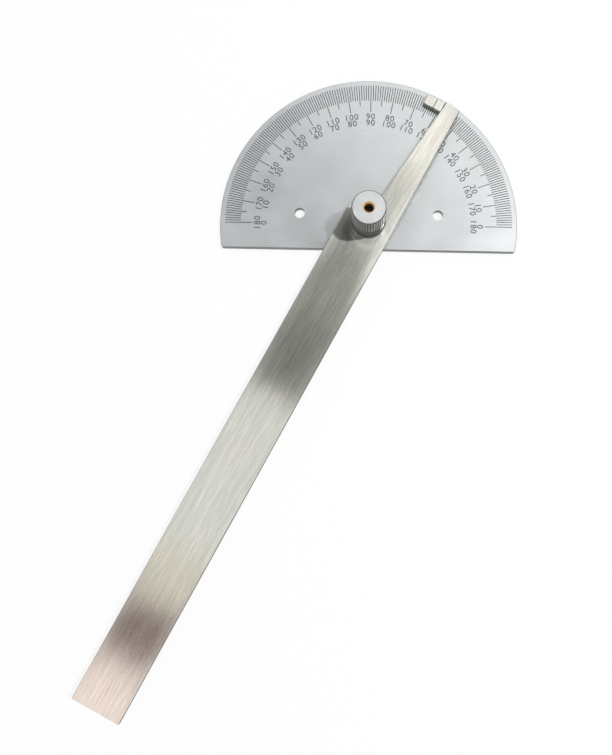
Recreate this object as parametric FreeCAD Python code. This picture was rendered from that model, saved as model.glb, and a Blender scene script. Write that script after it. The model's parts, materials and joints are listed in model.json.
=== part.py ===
import FreeCAD, Part
import math
import os

# Bevel protractor: a half-round graduated head, a blade that swings on a pivot stud, and a
# knurled nut that locks it. Everything is in millimetres.
#
# Frame: the origin is on the pivot axis, in the flat back of the head, where the stud's head
# ends flush. +X points to the 0 degree mark, +Y to the 90 degree mark, and +Z out of the
# graduated face.

# --- Protractor head: a sheet cut to a circular segment, with a straight base edge ---
head_thickness = 1.3
base_edge_below_pivot = 7.2
base_corner_radius = 0.5
head_edge_chamfer = 0.12
hanging_hole_radius = 1.5
hanging_hole_spacing = 39.6
hanging_hole_above_pivot = 3.1

# --- Graduation engraved in the head's face, one mark per degree from 0 to 180 ---
mark_outer_radius = 41.1
degree_mark_length = 4.5
five_degree_mark_length = 6.0
ten_degree_mark_length = 7.9
mark_width = 0.2
mark_depth = 0.1
rim_outside_marks = 1.4
head_radius = mark_outer_radius + rim_outside_marks

# --- Blade: a flat strip with a round shoulder at the pivot and a narrow pointer beyond it ---
blade_width = 14.8
blade_thickness = 0.9
blade_tail_length = 154.7
blade_corner_radius = 0.4
blade_edge_chamfer = 0.15
pointer_width_at_root = 7.85
pointer_width_at_tip = 4.5
pointer_root_fillet = 1.2
pointer_tip_beyond_marks = 0.25

# --- Index tab: a lug at the pointer's tip, set down close to the graduation ---
tab_length = 6.15
tab_depth = 3.1
tab_corner_radius = 0.7
tab_end_fillet = 0.3
tab_gap_over_head = 0.1
tab_step_run = 0.7
index_line_width = 0.2
index_line_depth = 0.1

# The reading at which the blade is drawn.
rest_reading_degrees = 62.4

# --- Pivot stud: countersunk head flush with the back, plain shank, thin threaded end ---
stud_head_radius = 3.3
stud_head_height = 0.8
stud_shank_radius = 2.5
stud_thread_radius = 1.4
stud_shoulder_below_blade_face = 0.15
stud_end_below_nut_top = 2.4
stud_end_chamfer = 0.3

# --- Washers ---
friction_washer_radius = 5.0
friction_washer_thickness = 1.0
nut_washer_radius = 4.9
nut_washer_thickness = 0.4

# --- Lock nut: a straight-knurled head above a plain collar ---
knurl_radius = 4.8
knurl_height = 4.3
knurl_teeth = 40
knurl_depth = 0.2
knurl_crest_share = 0.3
knurl_root_share = 0.2
knurl_top_chamfer = 0.27
knurl_bottom_chamfer = 0.3
collar_radius = 4.6
collar_height = 3.1
nut_mouth_chamfer = 0.12

# --- Clearances, all on the radius ---
shank_clearance = 0.05
thread_clearance = 0.05
nut_washer_clearance = 0.08

# --- Levels, from the bottom up ---
head_face_z = head_thickness
blade_back_z = head_face_z + friction_washer_thickness
blade_face_z = blade_back_z + blade_thickness
nut_seat_z = blade_face_z + nut_washer_thickness
knurl_base_z = nut_seat_z + collar_height
nut_top_z = knurl_base_z + knurl_height

UP = FreeCAD.Vector(0, 0, 1)
OVERCUT = 1.0


def point(x, y, z=0.0):
    return FreeCAD.Vector(x, y, z)


def box(x_low, x_high, y_low, y_high, z_low, z_high):
    return Part.makeBox(x_high - x_low, y_high - y_low, z_high - z_low, point(x_low, y_low, z_low))


def cylinder(radius, z_low, z_high, x=0.0, y=0.0):
    return Part.makeCylinder(radius, z_high - z_low, point(x, y, z_low))


def turned(profile):
    """A solid turned about the Z axis from (radius, z) corners."""
    corners = [point(radius, 0, z) for radius, z in profile]
    face = Part.Face(Part.makePolygon(corners + corners[:1]))
    return face.revolve(point(0, 0, 0), UP, 360)


def plate(corners, z_low, z_high):
    """A flat plate from the corners of its outline."""
    vectors = [point(x, y, z_low) for x, y in corners]
    face = Part.Face(Part.makePolygon(vectors + vectors[:1]))
    return face.extrude(point(0, 0, z_high - z_low))


def edges_where(shape, accept):
    """The edges whose two ends and middle all satisfy accept(x, y, z)."""
    chosen = []
    for edge in shape.Edges:
        middle = edge.valueAt((edge.FirstParameter + edge.LastParameter) / 2)
        places = [vertex.Point for vertex in edge.Vertexes] + [middle]
        if all(accept(place.x, place.y, place.z) for place in places):
            chosen.append(edge)
    return chosen


def near(value, target):
    return abs(value - target) < 1e-4


def mark_length(degree):
    if degree % 10 == 0:
        return ten_degree_mark_length
    if degree % 5 == 0:
        return five_degree_mark_length
    return degree_mark_length


def graduation_cutter():
    """One slot cutter for each degree, radial, with its floor at the marks' depth."""
    floor_z = head_face_z - mark_depth
    cutters = []
    for degree in range(181):
        inner = mark_outer_radius - mark_length(degree)
        cutter = box(inner, mark_outer_radius, -mark_width / 2, mark_width / 2,
                     floor_z, head_face_z + OVERCUT)
        cutter.rotate(point(0, 0), UP, degree)
        cutters.append(cutter)
    return Part.makeCompound(cutters)


def pivot_hole_cutter():
    """The hole that the pivot stud is pressed into, countersunk from the back."""
    return turned([
        (0, -OVERCUT),
        (stud_head_radius, -OVERCUT),
        (stud_head_radius, 0),
        (stud_shank_radius, stud_head_height),
        (stud_shank_radius, head_face_z + OVERCUT),
        (0, head_face_z + OVERCUT),
    ])


def protractor_head():
    disc = cylinder(head_radius, 0, head_face_z)
    reach = head_radius + OVERCUT
    segment = disc.common(box(-reach, reach, -base_edge_below_pivot, reach, 0, head_face_z))
    corners = edges_where(segment, lambda x, y, z: near(y, -base_edge_below_pivot))
    corners = [edge for edge in corners if near(edge.Length, head_thickness)]
    segment = segment.makeFillet(base_corner_radius, corners)
    for level in (head_face_z, 0):
        rim = edges_where(segment, lambda x, y, z: near(z, level))
        segment = segment.makeChamfer(head_edge_chamfer, rim)
    holes = [pivot_hole_cutter()]
    for side in (-1, 1):
        holes.append(cylinder(hanging_hole_radius, -OVERCUT, head_face_z + OVERCUT,
                              side * hanging_hole_spacing / 2, hanging_hole_above_pivot))
    return segment.cut(holes).cut(graduation_cutter())


def pointer_inner_edge():
    """Ends of the pointer's slanting edge: where it leaves the round shoulder, and its tip.

    In the blade's own frame the index points along +X and the straight edge is at -Y."""
    straight_edge_y = -blade_width / 2
    root_y = straight_edge_y + pointer_width_at_root
    root = (math.sqrt((blade_width / 2) ** 2 - root_y ** 2), root_y)
    tip_radius = mark_outer_radius + pointer_tip_beyond_marks
    tip_y = straight_edge_y + pointer_width_at_tip
    tip = (math.sqrt(tip_radius ** 2 - tip_y ** 2), tip_y)
    return root, tip


def flat_blade():
    """The blade before its tab: tail, round shoulder and pointer, all in one sheet."""
    half = blade_width / 2
    tip_radius = mark_outer_radius + pointer_tip_beyond_marks
    root, tip = pointer_inner_edge()
    slope = (tip[1] - root[1]) / (tip[0] - root[0])
    far_x = tip_radius + OVERCUT
    far_y = root[1] + slope * (far_x - root[0])
    axis_y = root[1] - slope * root[0]
    pointer = plate([(0, -half), (far_x, -half), (far_x, far_y), (0, axis_y)], blade_back_z, blade_face_z)
    pointer = pointer.common(cylinder(tip_radius, blade_back_z, blade_face_z))
    tail = box(-blade_tail_length, 0, -half, half, blade_back_z, blade_face_z)
    shoulder = cylinder(half, blade_back_z, blade_face_z)
    sheet = tail.fuse([shoulder, pointer]).removeSplitter()
    inner_corner = edges_where(sheet, lambda x, y, z: near(x, root[0]) and near(y, root[1]))
    sheet = sheet.makeFillet(pointer_root_fillet, inner_corner)
    tail_corners = edges_where(sheet, lambda x, y, z: near(x, -blade_tail_length) and near(abs(y), half))
    sheet = sheet.makeFillet(blade_corner_radius, tail_corners)
    for level in (blade_back_z, blade_face_z):
        outside = edges_where(sheet, lambda x, y, z: near(z, level) and not on_pointer_edge(x, y))
        sheet = sheet.makeChamfer(blade_edge_chamfer, outside)
    return sheet


def on_pointer_edge(x, y):
    """True on the pointer's tip, slanting edge and root fillet, which stay square."""
    return x > blade_corner_radius and y > -blade_width / 2 + blade_edge_chamfer


def index_tab():
    """The lug beside the tip: it leaves the pointer's edge, steps down and runs over the marks."""
    tip_radius = mark_outer_radius + pointer_tip_beyond_marks
    tip = pointer_inner_edge()[1]
    tab_back_z = head_face_z + tab_gap_over_head
    tab_face_z = tab_back_z + blade_thickness
    step_y = tip[1] - blade_edge_chamfer
    end_y = tip[1] + tab_length
    inside_y = (step_y - blade_width / 2) / 2
    section = [
        (end_y, tab_back_z),
        (step_y, tab_back_z),
        (step_y - tab_step_run, blade_back_z),
        (inside_y, blade_back_z),
        (inside_y, blade_face_z),
        (step_y, blade_face_z),
        (step_y + tab_step_run, tab_face_z),
        (end_y, tab_face_z),
    ]
    inner_x = tip_radius - tab_depth
    outer_x = tip_radius + OVERCUT
    corners = [point(inner_x, y, z) for y, z in section]
    face = Part.Face(Part.makePolygon(corners + corners[:1]))
    lug = face.extrude(point(outer_x - inner_x, 0, 0))
    lug = lug.common(cylinder(tip_radius, head_face_z, blade_face_z))
    corner = edges_where(lug, lambda x, y, z: near(x, inner_x) and near(y, end_y))
    lug = lug.makeFillet(tab_corner_radius, corner)
    end_rim = edges_where(lug, lambda x, y, z: near(z, tab_face_z) and near(y, end_y))
    return lug.makeFillet(tab_end_fillet, end_rim)


def index_line_cutter():
    """The index line on the tab, on the radius through the pivot."""
    tab_face_z = head_face_z + tab_gap_over_head + blade_thickness
    half = index_line_width / 2
    return box(mark_outer_radius / 2, mark_outer_radius + OVERCUT, -half, half,
               tab_face_z - index_line_depth, tab_face_z + OVERCUT)


def blade():
    shape = flat_blade().fuse(index_tab()).removeSplitter()
    shape = shape.cut(cylinder(stud_shank_radius + shank_clearance,
                               blade_back_z - OVERCUT, blade_face_z + OVERCUT))
    shape = shape.cut(index_line_cutter())
    shape.rotate(point(0, 0), UP, rest_reading_degrees)
    return shape


def pivot_stud():
    shoulder_z = blade_face_z - stud_shoulder_below_blade_face
    end_z = nut_top_z - stud_end_below_nut_top
    return turned([
        (0, 0),
        (stud_head_radius, 0),
        (stud_shank_radius, stud_head_height),
        (stud_shank_radius, shoulder_z),
        (stud_thread_radius, shoulder_z),
        (stud_thread_radius, end_z - stud_end_chamfer),
        (stud_thread_radius - stud_end_chamfer, end_z),
        (0, end_z),
    ])


def washer(inner_radius, outer_radius, z_low, z_high):
    ring = cylinder(outer_radius, z_low, z_high)
    return ring.cut(cylinder(inner_radius, z_low - OVERCUT, z_high + OVERCUT))


def friction_washer():
    return washer(stud_shank_radius + shank_clearance, friction_washer_radius, head_face_z, blade_back_z)


def nut_washer():
    return washer(stud_thread_radius + nut_washer_clearance, nut_washer_radius, blade_face_z, nut_seat_z)


def knurl_outline():
    """Corners of the knurl's section: on each tooth a flat crest between two slanting flanks."""
    pitch = 2 * math.pi / knurl_teeth
    root_radius = knurl_radius - knurl_depth
    flank_share = (1 - knurl_crest_share - knurl_root_share) / 2
    corners = []
    for tooth in range(knurl_teeth):
        steps = [
            (0, knurl_radius),
            (knurl_crest_share, knurl_radius),
            (knurl_crest_share + flank_share, root_radius),
            (1 - flank_share, root_radius),
        ]
        for share, radius in steps:
            angle = (tooth + share) * pitch
            corners.append((radius * math.cos(angle), radius * math.sin(angle)))
    return corners


def lock_nut():
    grip = plate(knurl_outline(), knurl_base_z, nut_top_z)
    envelope = turned([
        (0, knurl_base_z),
        (knurl_radius - knurl_bottom_chamfer, knurl_base_z),
        (knurl_radius, knurl_base_z + knurl_bottom_chamfer),
        (knurl_radius, nut_top_z - knurl_top_chamfer),
        (knurl_radius - knurl_top_chamfer, nut_top_z),
        (0, nut_top_z),
    ])
    nut = grip.common(envelope).fuse(cylinder(collar_radius, nut_seat_z, knurl_base_z))
    bore_radius = stud_thread_radius + thread_clearance
    bore = turned([
        (0, nut_seat_z - OVERCUT),
        (bore_radius, nut_seat_z - OVERCUT),
        (bore_radius, nut_top_z - nut_mouth_chamfer),
        (bore_radius + nut_mouth_chamfer, nut_top_z),
        (bore_radius + nut_mouth_chamfer, nut_top_z + OVERCUT),
        (0, nut_top_z + OVERCUT),
    ])
    return nut.cut(bore)


def main():
    os.makedirs("parts", exist_ok=True)
    for make in (protractor_head, blade, pivot_stud, friction_washer, nut_washer, lock_nut):
        shape = make()
        solids = shape.Solids
        if len(solids) == 1:
            shape = solids[0]
        shape.exportStep("parts/" + make.__name__ + ".step")
        size = shape.BoundBox
        print(make.__name__, "solids", len(solids), "valid", shape.isValid(),
              "volume", round(shape.Volume, 2),
              "z", round(size.ZMin, 3), round(size.ZMax, 3))


main()
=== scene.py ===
import json
import math

import bmesh
import bpy
from mathutils import Matrix, Vector

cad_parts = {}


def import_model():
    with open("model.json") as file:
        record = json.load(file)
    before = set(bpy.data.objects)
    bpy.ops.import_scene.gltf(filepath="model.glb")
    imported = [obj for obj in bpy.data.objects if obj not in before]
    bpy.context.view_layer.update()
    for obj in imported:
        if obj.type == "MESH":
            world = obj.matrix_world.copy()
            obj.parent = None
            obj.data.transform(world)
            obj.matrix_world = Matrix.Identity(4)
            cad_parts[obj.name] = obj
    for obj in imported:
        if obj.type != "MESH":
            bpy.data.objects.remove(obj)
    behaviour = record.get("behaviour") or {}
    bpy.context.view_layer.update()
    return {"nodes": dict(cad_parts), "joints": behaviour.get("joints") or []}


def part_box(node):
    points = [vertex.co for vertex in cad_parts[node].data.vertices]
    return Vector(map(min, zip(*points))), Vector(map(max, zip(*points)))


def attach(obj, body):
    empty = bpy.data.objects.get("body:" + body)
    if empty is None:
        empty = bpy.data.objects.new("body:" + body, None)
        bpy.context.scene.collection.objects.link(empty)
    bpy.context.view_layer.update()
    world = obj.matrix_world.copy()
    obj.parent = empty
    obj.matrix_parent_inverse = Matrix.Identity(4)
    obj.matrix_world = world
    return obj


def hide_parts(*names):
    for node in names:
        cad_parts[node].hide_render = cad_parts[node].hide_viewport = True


# Bevel protractor: finishes, numbers, screw threads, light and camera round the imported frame.
# Places are in metres, in the frame's axes; sizes named in millimetres are multiplied by MM.

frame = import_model()
nodes = frame["nodes"]
joints = {joint["name"]: joint for joint in frame["joints"]}

MM = 0.001

# --- Taken from the frame ---
head_low, head_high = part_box("protractor_head")
blade_low, blade_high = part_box("blade")
stud_low, stud_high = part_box("pivot_stud")
nut_low, nut_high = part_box("lock_nut")
head_face_z = head_high.z
rest_angle = -math.radians(joints["blade_swing"]["range_deg"][0])

# --- Graduation ---
mark_outer_radius = 41.1 * MM
mark_depth = 0.1 * MM
mark_ring_width = 10 * MM
mark_ring_margin = 0.1 * MM
mark_ring_low_y = -1.0 * MM
numbers_step = 10
outer_numbers_radius = 31.9 * MM
inner_numbers_radius = 30.05 * MM
number_height = 1.75 * MM
number_spacing = 1.12
number_lift = 0.012 * MM
number_thickness = 0.01 * MM

# --- Blade, and the index line on its tab ---
blade_width = 14.8 * MM
tab_face_z = head_face_z + 1.0 * MM
index_line_width = 0.2 * MM
index_line_margin = 0.01 * MM
index_line_high_z = tab_face_z - 0.02 * MM
index_line_low_z = tab_face_z - 0.6 * MM

# --- Painted shade: rims darker than the face, and knurl gaps darker than the crests ---
head_rim_width = 0.2 * MM
nut_rim_width = 0.35 * MM
knurl_crest_depth = 0.1 * MM

# --- Screw threads, M3 with a 0.5 mm pitch ---
thread_pitch = 0.5 * MM
shank_radius = 2.5 * MM
shank_top = blade_high.z - 0.15 * MM
countersink_height = 0.8 * MM
stud_thread_crest = 1.44 * MM
stud_thread_root = 1.2 * MM
nut_bore_radius = 1.45 * MM
nut_thread_crest = 1.22 * MM
nut_thread_root = 1.42 * MM
nut_mouth_depth = 0.14 * MM
thread_columns = 48
rows_per_pitch = 8


class Nodes:
    """A material under construction. Values may be numbers, colours or sockets."""

    def __init__(self, name):
        self.material = bpy.data.materials.new(name)
        self.material.use_nodes = True
        self.tree = self.material.node_tree
        self.shader = self.tree.nodes["Principled BSDF"]

    def feed(self, socket, value):
        if isinstance(value, bpy.types.NodeSocket):
            self.tree.links.new(value, socket)
        elif value is not None:
            socket.default_value = value

    def add(self, kind, *values, **settings):
        node = self.tree.nodes.new(kind)
        for name, setting in settings.items():
            setattr(node, name, setting)
        for socket, value in zip(node.inputs, values):
            self.feed(socket, value)
        return node

    def math(self, operation, first, second=None):
        return self.add("ShaderNodeMath", first, second, operation=operation).outputs[0]

    def both(self, *masks):
        total = masks[0]
        for mask in masks[1:]:
            total = self.math("MULTIPLY", total, mask)
        return total

    def above(self, value, limit):
        return self.math("GREATER_THAN", value, limit)

    def below(self, value, limit):
        return self.math("LESS_THAN", value, limit)

    def place(self, turn=0.0):
        """Position in millimetres in the piece's own axes, turned back about Z."""
        coordinates = self.add("ShaderNodeTexCoord").outputs["Object"]
        turned = self.add("ShaderNodeVectorRotate", coordinates, rotation_type="Z_AXIS")
        turned.inputs["Angle"].default_value = -turn
        scaled = self.add("ShaderNodeVectorMath", turned.outputs[0], operation="SCALE")
        scaled.inputs["Scale"].default_value = 1 / MM
        return scaled.outputs[0]

    def upright(self):
        """1 on the walls of a piece that lies flat, 0 on the faces square to Z."""
        normal = self.add("ShaderNodeNewGeometry").outputs["True Normal"]
        return self.below(self.math("ABSOLUTE", self.split(normal)[2]), 0.97)

    def split(self, vector):
        return self.add("ShaderNodeSeparateXYZ", vector).outputs

    def join(self, x, y, z):
        return self.add("ShaderNodeCombineXYZ", x, y, z).outputs[0]

    def radius(self, vector):
        flat = self.add("ShaderNodeVectorMath", vector, (1, 1, 0), operation="MULTIPLY").outputs[0]
        return self.add("ShaderNodeVectorMath", flat, operation="LENGTH").outputs["Value"]

    def stretched(self, vector, x, y, z):
        return self.add("ShaderNodeVectorMath", vector, (x, y, z), operation="MULTIPLY").outputs[0]

    def noise(self, vector, scale=1.0, detail=2.0, roughness=0.5):
        node = self.add("ShaderNodeTexNoise")
        self.feed(node.inputs["Vector"], vector)
        node.inputs["Scale"].default_value = scale
        node.inputs["Detail"].default_value = detail
        node.inputs["Roughness"].default_value = roughness
        return node.outputs["Fac"]

    def spread(self, value, low, high, out_low, out_high):
        """Maps low..high to out_low..out_high and holds it there outside."""
        return self.add("ShaderNodeMapRange", value, low, high, out_low, out_high).outputs[0]

    def mix(self, factor, first, second, blend="MIX"):
        node = self.add("ShaderNodeMix", data_type="RGBA", blend_type=blend)
        self.feed(node.inputs["Factor"], factor)
        self.feed(node.inputs["A"], first)
        self.feed(node.inputs["B"], second)
        return next(socket for socket in node.outputs if socket.type == "RGBA")

    def brighten(self, colour, amount):
        """The colour times a grey amount."""
        grey = self.join(amount, amount, amount)
        return self.mix(1.0, colour, grey, "MULTIPLY")

    def finish(self, colour, roughness, metallic=1.0, height=None, bump=0.0, distance=0.0):
        self.feed(self.shader.inputs["Base Color"], colour)
        self.feed(self.shader.inputs["Roughness"], roughness)
        self.feed(self.shader.inputs["Metallic"], metallic)
        if height is not None:
            node = self.add("ShaderNodeBump")
            node.inputs["Strength"].default_value = bump
            node.inputs["Distance"].default_value = distance
            self.feed(node.inputs["Height"], height)
            self.feed(self.shader.inputs["Normal"], node.outputs[0])
        return self.material


def opaque(red, green, blue):
    return (red, green, blue, 1.0)


# --- Finishes ---

def head_steel():
    """Satin sheet with a fine grain along X, painted shade at the outer edge and on the walls, and
    dark filled marks.
    """
    m = Nodes("head_satin_steel")
    place = m.place()
    y, z = m.split(place)[1:]
    radius = m.radius(place)
    grain = m.noise(m.stretched(place, 0.12, 4.0, 1.0), 1.0, 3.0, 0.6)
    cloud = m.noise(place, 0.09, 3.0, 0.5)
    shade = m.math("ADD", m.spread(grain, 0.3, 0.7, 0.97, 1.03),
                   m.spread(cloud, 0.3, 0.7, -0.04, 0.04))
    tint = m.mix(m.noise(place, 0.05, 2.0, 0.5),
                 opaque(0.76, 0.81, 0.80), opaque(0.79, 0.80, 0.84))
    steel = m.brighten(tint, shade)
    # Painted shade: the outer edge of the head's face is darkened.
    painted_rim_shade = m.above(radius, (head_high.x - head_rim_width) / MM)
    steel = m.mix(m.math("MULTIPLY", painted_rim_shade, 0.6), steel, opaque(0.25, 0.25, 0.25))
    # Painted shade: the walls, at the outer edge and in the holes, are given dark steel.
    steel = m.mix(m.upright(), steel, opaque(0.20, 0.21, 0.21))
    face = head_face_z / MM
    depth = mark_depth / MM
    in_marks = m.both(
        m.below(z, face - 0.15 * depth),
        m.above(z, face - 1.5 * depth),
        m.below(radius, (mark_outer_radius + mark_ring_margin) / MM),
        m.above(radius, (mark_outer_radius - mark_ring_width) / MM),
        m.above(y, mark_ring_low_y / MM),
    )
    colour = m.mix(in_marks, steel, opaque(0.035, 0.035, 0.04))
    metallic = m.spread(in_marks, 0.0, 1.0, 0.8, 0.0)
    roughness = m.math("ADD", m.spread(cloud, 0.3, 0.7, 0.33, 0.38),
                       m.spread(grain, 0.3, 0.7, -0.02, 0.02))
    return m.finish(colour, roughness, metallic, grain, 0.06, 0.02 * MM)


def blade_steel():
    """Sheet brushed along the blade, with long fine streaks, painted shade on the walls and a dark
    filled index line.
    """
    m = Nodes("blade_brushed_steel")
    place = m.place(rest_angle)
    along, across, z = m.split(place)
    off_middle = m.math("ABSOLUTE", across)
    fine = m.noise(m.stretched(place, 0.15, 4.0, 4.0), 1.0, 4.0, 0.75)
    coarse = m.noise(m.stretched(place, 0.04, 1.0, 1.0), 1.0, 2.0, 0.5)
    cloud = m.noise(m.stretched(place, 0.10, 0.25, 0.25), 1.0, 3.0, 0.5)
    shade = m.math("ADD", m.spread(fine, 0.3, 0.7, 0.82, 1.18),
                   m.spread(coarse, 0.3, 0.7, -0.06, 0.06))
    steel = m.brighten(m.mix(cloud, opaque(0.61, 0.64, 0.57), opaque(0.69, 0.66, 0.62)), shade)
    # Painted shade: the blade's cut walls are given dark steel.
    steel = m.mix(m.upright(), steel, opaque(0.20, 0.20, 0.19))
    in_line = m.both(
        m.above(along, mark_outer_radius / MM / 2),
        m.below(off_middle, (index_line_width / 2 + index_line_margin) / MM),
        m.below(z, index_line_high_z / MM),
        m.above(z, index_line_low_z / MM),
    )
    colour = m.mix(in_line, steel, opaque(0.03, 0.03, 0.03))
    edge = blade_width / MM / 2
    worn = m.spread(off_middle, 0.6 * edge, edge, 0.22, 0.27)
    roughness = m.math("ADD", worn, m.spread(cloud, 0.3, 0.7, -0.01, 0.01))
    tangent = m.add("ShaderNodeVectorTransform", vector_type="VECTOR",
                    convert_from="OBJECT", convert_to="WORLD")
    tangent.inputs[0].default_value = (-math.sin(rest_angle), math.cos(rest_angle), 0)
    m.feed(m.shader.inputs["Tangent"], tangent.outputs[0])
    m.shader.inputs["Anisotropic"].default_value = 0.93
    return m.finish(colour, roughness, 1.0, fine, 0.08, 0.02 * MM)


def nut_plating():
    """Satin nickel plate, turned in rings on top, with painted shade on the walls and the top's outer
    ring, brass in the hole.
    """
    m = Nodes("nut_satin_nickel")
    place = m.place()
    radius = m.radius(place)
    z = m.split(place)[2]
    rings = m.noise(m.join(m.math("MULTIPLY", radius, 9.0), 0.0, z), 1.0, 2.0, 0.6)
    cloud = m.noise(place, 0.5, 3.0, 0.5)
    shade = m.math("ADD", m.spread(rings, 0.3, 0.7, 0.96, 1.04),
                   m.spread(cloud, 0.3, 0.7, -0.04, 0.04))
    # Painted shade: the knurled walls are dark, darker still in the gaps between the crests.
    on_crest = m.above(radius, (nut_high.x - knurl_crest_depth) / MM)
    painted_shade_sides = m.mix(on_crest, opaque(0.12, 0.12, 0.12), opaque(0.34, 0.34, 0.34))
    nickel = m.brighten(opaque(0.92, 0.94, 0.94), shade)
    # Painted shade: a ring at the outer edge of the top is darkened.
    on_rim = m.above(radius, (nut_high.x - nut_rim_width) / MM)
    nickel = m.mix(on_rim, nickel, opaque(0.16, 0.16, 0.16))
    nickel = m.mix(m.upright(), nickel, painted_shade_sides)
    in_hole = m.below(radius, (nut_bore_radius + nut_mouth_depth) / MM)
    colour = m.mix(in_hole, nickel, opaque(0.72, 0.43, 0.13))
    roughness = m.spread(cloud, 0.3, 0.7, 0.38, 0.44)
    return m.finish(colour, roughness, 1.0, rings, 0.1, 0.01 * MM)


def bare_brass():
    """Brass at the mouth of the hole, with painted shade further down."""
    m = Nodes("thread_brass")
    place = m.place()
    z = m.split(place)[2]
    top = nut_high.z / MM
    cloud = m.noise(place, 2.0, 3.0, 0.5)
    brass = m.mix(cloud, opaque(0.60, 0.30, 0.08), opaque(0.80, 0.50, 0.16))
    # Painted shade: the brass turns dark from 0.4 to 0.8 mm down the hole.
    colour = m.mix(m.spread(z, top - 0.8, top - 0.4, 1.0, 0.0), brass, opaque(0.03, 0.025, 0.02))
    return m.finish(colour, m.spread(cloud, 0.3, 0.7, 0.25, 0.4))


def stud_steel():
    """Turned steel, with painted shade on the thread."""
    m = Nodes("stud_turned_steel")
    place = m.place()
    z = m.split(place)[2]
    turning = m.noise(m.stretched(place, 0.2, 0.2, 14.0), 1.0, 2.0, 0.6)
    steel = m.brighten(opaque(0.50, 0.50, 0.49), m.spread(turning, 0.3, 0.7, 0.88, 1.08))
    # Painted shade: the threaded end is given dark steel.
    on_thread = m.above(z, shank_top / MM)
    colour = m.mix(on_thread, steel, opaque(0.10, 0.095, 0.085))
    return m.finish(colour, m.spread(turning, 0.3, 0.7, 0.35, 0.48), 1.0, turning, 0.1, 0.01 * MM)


def washer_steel():
    """Dull, dark steel with turned rings, for both washers."""
    m = Nodes("washer_dull_steel")
    place = m.place()
    cloud = m.noise(place, 0.8, 4.0, 0.6)
    rings = m.noise(m.join(m.math("MULTIPLY", m.radius(place), 6.0), 0.0, 0.0), 1.0, 2.0, 0.6)
    colour = m.brighten(opaque(0.22, 0.22, 0.225), m.spread(cloud, 0.3, 0.7, 0.8, 1.2))
    return m.finish(colour, m.spread(cloud, 0.3, 0.7, 0.42, 0.56), 1.0, rings, 0.15, 0.01 * MM)


def number_ink():
    """Dark fill in the numbers."""
    m = Nodes("number_fill")
    cloud = m.noise(m.place(), 1.5, 3.0, 0.6)
    colour = m.mix(cloud, opaque(0.035, 0.037, 0.042), opaque(0.075, 0.078, 0.085))
    return m.finish(colour, m.spread(cloud, 0.3, 0.7, 0.5, 0.65), 0.0)


# --- Pieces ---

def object_from(name, mesh, material, body):
    """A visible piece that moves with a body and takes one material."""
    piece = bpy.data.objects.new(name, mesh)
    bpy.context.scene.collection.objects.link(piece)
    mesh.materials.clear()
    mesh.materials.append(material)
    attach(piece, body)
    return piece


def number_mesh(text):
    """One number, centred, its height along Y, with a little thickness."""
    curve = bpy.data.curves.new("number", "FONT")
    curve.body = text
    curve.align_x = "CENTER"
    curve.space_character = number_spacing
    curve.resolution_u = 4
    curve.extrude = number_thickness / number_height / 4
    holder = bpy.data.objects.new("number", curve)
    mesh = bpy.data.meshes.new_from_object(holder)
    bpy.data.objects.remove(holder)
    bpy.data.curves.remove(curve)
    low = min(vertex.co.y for vertex in mesh.vertices)
    high = max(vertex.co.y for vertex in mesh.vertices)
    scale = number_height / (high - low)
    mesh.transform(Matrix.Scale(scale, 4) @ Matrix.Translation((0, -(low + high) / 2, 0)))
    return mesh


def scale_numbers(name, radius, value_at, material):
    """A ring of numbers with their tops outward, one every numbers_step degrees."""
    made = bmesh.new()
    for degree in range(0, 181, numbers_step):
        mesh = number_mesh(str(value_at(degree)))
        angle = math.radians(degree)
        spot = Vector((radius * math.cos(angle), radius * math.sin(angle),
                       head_face_z + number_lift))
        mesh.transform(Matrix.Translation(spot) @ Matrix.Rotation(angle - math.pi / 2, 4, "Z"))
        made.from_mesh(mesh)
        bpy.data.meshes.remove(mesh)
    joined = bpy.data.meshes.new(name)
    made.to_mesh(joined)
    made.free()
    object_from(name, joined, material, "head")


def thread_profile(share, crest, root):
    """Radius at a share of the pitch: flat crest, slanting flanks, flat root."""
    crest_flat, root_flat = 0.15, 0.2
    flank = (1 - crest_flat - root_flat) / 2
    share %= 1.0
    if share < crest_flat:
        return crest
    if share < crest_flat + flank:
        return crest + (root - crest) * (share - crest_flat) / flank
    if share < crest_flat + flank + root_flat:
        return root
    return root + (crest - root) * (share - crest_flat - flank - root_flat) / flank


def add_ring(made, radius_at, z):
    """A ring of points at height z, whose radius may change with the angle."""
    ring = []
    for column in range(thread_columns):
        angle = 2 * math.pi * column / thread_columns
        radius = radius_at(angle, z)
        ring.append(made.verts.new((radius * math.cos(angle), radius * math.sin(angle), z)))
    return ring


def bridge(made, lower, upper):
    """Faces between two rings."""
    for column in range(thread_columns):
        after = (column + 1) % thread_columns
        made.faces.new((lower[column], lower[after], upper[after], upper[column]))


def threaded(crest, root):
    """radius_at for a right-hand thread."""
    def radius_at(angle, z):
        return thread_profile(z / thread_pitch - angle / (2 * math.pi), crest, root)
    return radius_at


def plain(radius):
    return lambda angle, z: radius


def rows_between(low, high):
    count = max(1, round((high - low) / thread_pitch * rows_per_pitch))
    return [low + (high - low) * row / count for row in range(count + 1)]


def mesh_of(made, name):
    bmesh.ops.recalc_face_normals(made, faces=made.faces)
    mesh = bpy.data.meshes.new(name)
    made.to_mesh(mesh)
    made.free()
    return mesh


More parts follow.
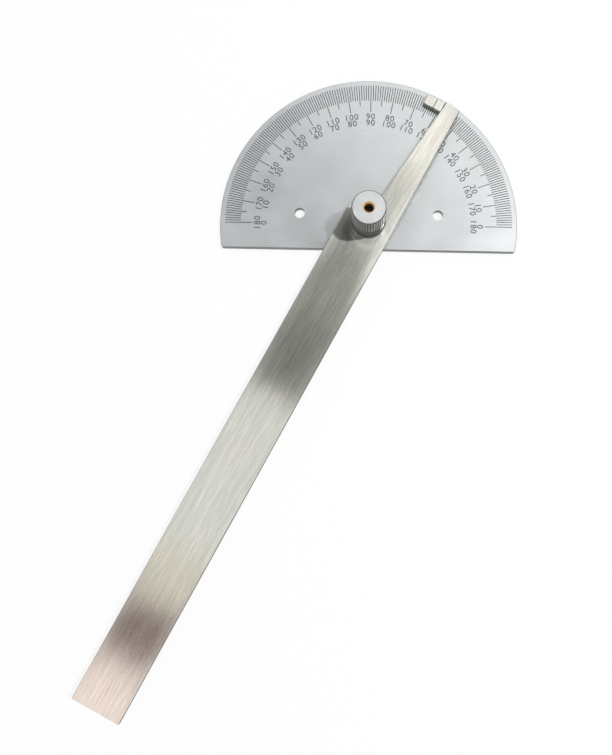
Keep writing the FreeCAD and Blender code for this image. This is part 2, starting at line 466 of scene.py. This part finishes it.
def threaded_stud(material):
    """Countersunk head, plain shank and threaded end, standing for the CAD stud."""
    made = bmesh.new()
    chamfer = 0.3 * MM
    thread = threaded(stud_thread_crest, stud_thread_root)
    head_radius = stud_high.x
    rings = [
        add_ring(made, plain(head_radius), stud_low.z),
        add_ring(made, plain(shank_radius), countersink_height),
        add_ring(made, plain(shank_radius), shank_top - 0.1 * MM),
        add_ring(made, plain(shank_radius - 0.1 * MM), shank_top),
        add_ring(made, plain(stud_thread_root), shank_top),
    ]
    threaded_rows = rows_between(shank_top + 0.1 * MM, stud_high.z - chamfer)
    rings += [add_ring(made, thread, z) for z in threaded_rows]
    rings.append(add_ring(made, plain(stud_thread_root - 0.1 * MM), stud_high.z))
    for lower, upper in zip(rings, rings[1:]):
        bridge(made, lower, upper)
    made.faces.new(rings[0])
    made.faces.new(rings[-1])
    name = "pivot_stud_threaded"
    piece = object_from(name, mesh_of(made, name), material, "head")
    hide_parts("pivot_stud")


def nut_thread(material):
    """The nut's thread, a tube with an inside thread that lines the hole above the stud's end."""
    made = bmesh.new()
    low = stud_high.z + 0.1 * MM
    high = nut_high.z - nut_mouth_depth
    thread = threaded(nut_thread_crest, nut_thread_root)
    wall = nut_bore_radius - 0.003 * MM
    rings = [add_ring(made, thread, z) for z in rows_between(low, high)]
    outer_low = add_ring(made, plain(wall), low)
    outer_high = add_ring(made, plain(wall), high)
    for lower, upper in zip(rings, rings[1:]):
        bridge(made, lower, upper)
    bridge(made, outer_low, rings[0])
    bridge(made, rings[-1], outer_high)
    bridge(made, outer_high, outer_low)
    object_from("nut_thread", mesh_of(made, "nut_thread"), material, "nut")


def dress_nodes():
    """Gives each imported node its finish. The stud's node is replaced by its threaded form."""
    finishes = {
        "protractor_head": head_steel(),
        "blade": blade_steel(),
        "lock_nut": nut_plating(),
    }
    washer = washer_steel()
    finishes["friction_washer"] = washer
    finishes["nut_washer"] = washer
    for name, material in finishes.items():
        mesh_slots = nodes[name].data.materials
        if not mesh_slots:
            mesh_slots.append(material)
        for index in range(len(mesh_slots)):
            mesh_slots[index] = material


# --- Studio ---

key_azimuth = math.radians(9)
key_elevation = math.radians(51)
key_distance = 1.2
key_size = 0.06
key_power = 6.6
fill_strength = 0.66
card_height = 0.6
blade_card_reach = 0.2


def plane(name, corners, material):
    """A flat sheet of the studio, which is no part of the object."""
    mesh = bpy.data.meshes.new(name)
    mesh.from_pydata(corners, [], [tuple(range(len(corners)))])
    mesh.materials.append(material)
    piece = bpy.data.objects.new(name, mesh)
    bpy.context.scene.collection.objects.link(piece)
    return piece


def floor():
    """A white floor: camera and mirror rays see it mostly as the backdrop, with the shadow kept."""
    m = Nodes("floor_white")
    m.feed(m.shader.inputs["Base Color"], opaque(0.97, 0.97, 0.97))
    m.shader.inputs["Roughness"].default_value = 0.9
    backdrop = m.add("ShaderNodeEmission", opaque(1, 1, 1), 1.0)
    rays = m.add("ShaderNodeLightPath").outputs
    seen = m.math("MAXIMUM", rays["Is Camera Ray"], rays["Is Glossy Ray"])
    seen = m.math("MAXIMUM", seen, rays["Is Transmission Ray"])
    share = m.math("MULTIPLY", seen, 0.85)
    mixed = m.add("ShaderNodeMixShader", share, m.shader.outputs[0], backdrop.outputs[0])
    m.tree.links.new(mixed.outputs[0], m.tree.nodes["Material Output"].inputs["Surface"])
    half = 3.0
    level = head_low.z - 0.02 * MM
    corners = [(-half, -half, level), (half, -half, level), (half, half, level), (-half, half, level)]
    plane("floor", corners, m.material)


def world():
    """White to camera and mirror rays, a dimmer fill light to the rest."""
    made = bpy.data.worlds.new("studio")
    bpy.context.scene.world = made
    made.use_nodes = True
    tree = made.node_tree
    lit = tree.nodes["Background"]
    lit.inputs["Color"].default_value = opaque(1, 1, 1)
    rays = tree.nodes.new("ShaderNodeLightPath").outputs
    white = tree.nodes.new("ShaderNodeMath")
    white.operation = "MAXIMUM"
    tree.links.new(rays["Is Camera Ray"], white.inputs[0])
    tree.links.new(rays["Is Glossy Ray"], white.inputs[1])
    more = tree.nodes.new("ShaderNodeMath")
    more.operation = "MAXIMUM"
    tree.links.new(white.outputs[0], more.inputs[0])
    tree.links.new(rays["Is Transmission Ray"], more.inputs[1])
    strength = tree.nodes.new("ShaderNodeMapRange")
    tree.links.new(more.outputs[0], strength.inputs[0])
    strength.inputs["To Min"].default_value = fill_strength
    strength.inputs["To Max"].default_value = 1.0
    tree.links.new(strength.outputs[0], lit.inputs["Strength"])


def key_lamp():
    """A small lamp high on the right, so that the nut casts its shadow to the left."""
    data = bpy.data.lights.new("key", "AREA")
    data.size = key_size
    data.energy = key_power
    lamp = bpy.data.objects.new("key", data)
    bpy.context.scene.collection.objects.link(lamp)
    flat = math.cos(key_elevation)
    direction = Vector((flat * math.cos(key_azimuth), flat * math.sin(key_azimuth),
                        math.sin(key_elevation)))
    lamp.location = direction * key_distance
    lamp.rotation_mode = "QUATERNION"
    lamp.rotation_quaternion = direction.to_track_quat("Z", "Y")


camera_place = Vector((-0.63, -68.38, 139.71)) * MM
camera_tilt = math.radians(2.358)
camera_lean = math.radians(0.05)
camera_roll = math.radians(1.126)
camera_lens = 29.0
camera_shift = (-0.0902, 0.1077)


def reflected_place(station):
    """The place at card height that the camera sees mirrored in the blade's face, at a station
    along the blade's middle, in millimetres from the pivot."""
    along = Vector((math.cos(rest_angle), math.sin(rest_angle), 0))
    spot = along * station * MM + Vector((0, 0, blade_high.z))
    ray = spot - camera_place
    ray.z = -ray.z
    return spot + ray * ((card_height - spot.z) / ray.z)


def card(name, corners, colour):
    """A card that only mirror rays see."""
    m = Nodes(name)
    glow = m.add("ShaderNodeEmission", colour, 1.0)
    m.tree.links.new(glow.outputs[0], m.tree.nodes["Material Output"].inputs["Surface"])
    piece = plane(name, corners, m.material)
    piece.visible_camera = False
    piece.visible_shadow = False
    piece.visible_diffuse = False


def blade_card(name, low_station, high_station, colour):
    """A card over the blade, which the blade mirrors between two stations along it."""
    across = Vector((-math.sin(rest_angle), math.cos(rest_angle), 0)) * blade_card_reach
    low, high = reflected_place(low_station), reflected_place(high_station)
    card(name, [low - across, high - across, high + across, low + across], colour)


def level_card(name, low, high, height, colour):
    """A level card between two corners, square to X and Y."""
    corners = [(low[0], low[1]), (high[0], low[1]), (high[0], high[1]), (low[0], high[1])]
    card(name, [(x, y, height) for x, y in corners], colour)


def cards():
    """What the blade and head mirror. The stations and strengths of the blade's cards are given
    for this camera; one above 1 is brighter than the white backdrop."""
    bands = [
        ("pink", -170, -140, (1.40, 1.14, 1.10)),
        ("brown", -139, -122, (0.10, 0.0, 0.0)),
        ("cream", -123, -106, (0.92, 0.86, 0.75)),
        ("dark", -55, -34, (0.12, 0.12, 0.11)),
        ("grey", -34, -16, (0.22, 0.23, 0.20)),
        ("shade", -16, 3, (0.0, 0.0, 0.0)),
        ("dull", 3, 13, (0.44, 0.44, 0.42)),
        ("pale", 13, 21, (0.80, 0.79, 0.77)),
        ("bright", 21, 50, (1.55, 1.52, 1.48)),
    ]
    for name, low, high, colour in bands:
        blade_card("card_" + name, low, high, opaque(*colour))
    level_card("card_north", (-1.2, 0.33), (1.2, 1.3), card_height + 0.02,
               opaque(0.42, 0.44, 0.47))
    level_card("card_window", (0.10, 0.12), (0.34, 0.31), card_height + 0.01,
               opaque(1.3, 1.3, 1.26))


def camera():
    data = bpy.data.cameras.new("camera")
    data.sensor_fit = "HORIZONTAL"
    data.sensor_width = 36
    data.lens = camera_lens
    data.shift_x, data.shift_y = camera_shift
    data.clip_start = 0.01
    piece = bpy.data.objects.new("camera", data)
    bpy.context.scene.collection.objects.link(piece)
    piece.location = camera_place
    piece.rotation_euler = (camera_tilt, camera_lean, camera_roll)
    bpy.context.scene.camera = piece


dress_nodes()
ink = number_ink()
scale_numbers("numbers_outer", outer_numbers_radius, lambda degree: degree, ink)
scale_numbers("numbers_inner", inner_numbers_radius, lambda degree: 180 - degree, ink)
threaded_stud(stud_steel())
nut_thread(bare_brass())
floor()
world()
key_lamp()
cards()
camera()
bpy.context.scene.view_settings.view_transform = "Standard"
